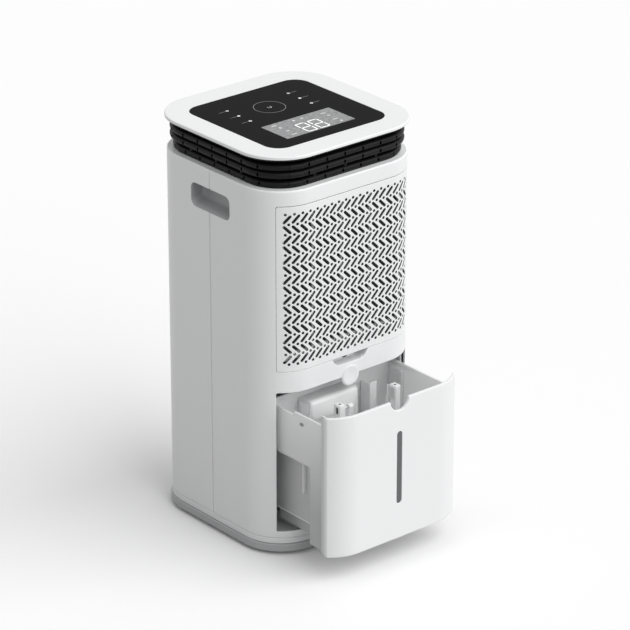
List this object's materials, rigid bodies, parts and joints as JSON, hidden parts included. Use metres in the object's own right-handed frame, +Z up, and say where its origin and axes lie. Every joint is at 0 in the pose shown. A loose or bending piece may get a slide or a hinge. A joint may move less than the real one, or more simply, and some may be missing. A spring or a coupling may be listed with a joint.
{
  "type": "dehumidifier",
  "caption": "Upright square-column dehumidifier: front herringbone intake grille, louvred top outlet, glass touch panel and a pull-out water tank with a level window.",
  "frame": {"origin": "on the floor under the middle of the square column", "axes": "+Z up, front with the tank towards -Y, +X to the right seen from the front"},
  "size_m": [0.265, 0.365, 0.5686],
  "materials": {
    "shell_white": "fine satin moulded plastic",
    "base_grey": "satin moulded plastic",
    "louvre_black": "satin black moulded plastic",
    "trim_black": "matt black moulded plastic",
    "panel_glass": "polished black cover glass",
    "display_grey": "grey liquid crystal behind the glass",
    "lens_white": "satin light diffuser",
    "tank_grey": "satin polypropylene",
    "window_smoke": "smoked clear plastic",
    "liner_grey": "moulded liner plastic",
    "filter_fabric": "woven nylon mesh",
    "float_foam": "foamed plastic",
    "rubber_black": "moulded rubber",
    "coil_aluminium": "rolled fins",
    "pipe_copper": "drawn copper",
    "motor_steel": "zinc plated steel",
    "compressor_black": "black paint",
    "board_green": "solder mask"
  },
  "bodies": {
    "housing": {"base_tray": "base_grey", "base_pads": "rubber_black", "front_shell": "shell_white", "rear_shell": "shell_white", "left_grip_cup": "shell_white", "right_grip_cup": "shell_white", "finger_cup": "tank_grey", "status_lens": "lens_white", "air_louvre": "louvre_black", "top_frame": "shell_white", "control_glass": "panel_glass", "display_module": "display_grey", "control_board": "board_green", "tank_bay": "liner_grey", "middle_deck": "liner_grey", "drip_tray": "liner_grey", "evaporator": "coil_aluminium", "condenser": "coil_aluminium", "fan_scroll": "liner_grey", "fan_motor": "motor_steel", "compressor": "compressor_black", "compressor_grommets": "rubber_black", "accumulator": "pipe_copper", "refrigerant_pipes": "pipe_copper", "run_capacitor": "motor_steel", "tank_switch": "trim_black", "board_box": "trim_black", "main_board": "board_green", "drain_outlet": "tank_grey", "cord_gland": "trim_black", "casing_screws": "motor_steel"},
    "grille": {"grille_panel": "shell_white", "grille_pins": "motor_steel", "filter_frame": "trim_black", "filter_mesh": "filter_fabric"},
    "tank": {"tank_front": "shell_white", "tank_bin": "tank_grey", "level_window": "window_smoke", "float_pins": "motor_steel"},
    "float": {"float_arm": "tank_grey", "float_block": "float_foam", "float_magnet": "motor_steel"},
    "fan": {"fan_wheel": "trim_black", "fan_shaft": "motor_steel"}
  },
  "joints": [
    {"name": "tank_slide", "type": "slide", "parent": "housing", "child": "tank", "axis": [0, -1, 0], "range_m": [-0.1, 0.025]},
    {"name": "float_swing", "type": "hinge", "parent": "tank", "child": "float", "pos_m": [0, -0.165, 0.213], "axis": [1, 0, 0], "range_deg": [0, 12]},
    {"name": "grille_tilt", "type": "hinge", "parent": "housing", "child": "grille", "pos_m": [0, -0.122, 0.508], "axis": [-1, 0, 0], "range_deg": [0, 10]},
    {"name": "fan_spin", "type": "hinge", "parent": "housing", "child": "fan", "pos_m": [0, 0, 0.372], "axis": [0, 1, 0], "continuous": true}
  ]
}
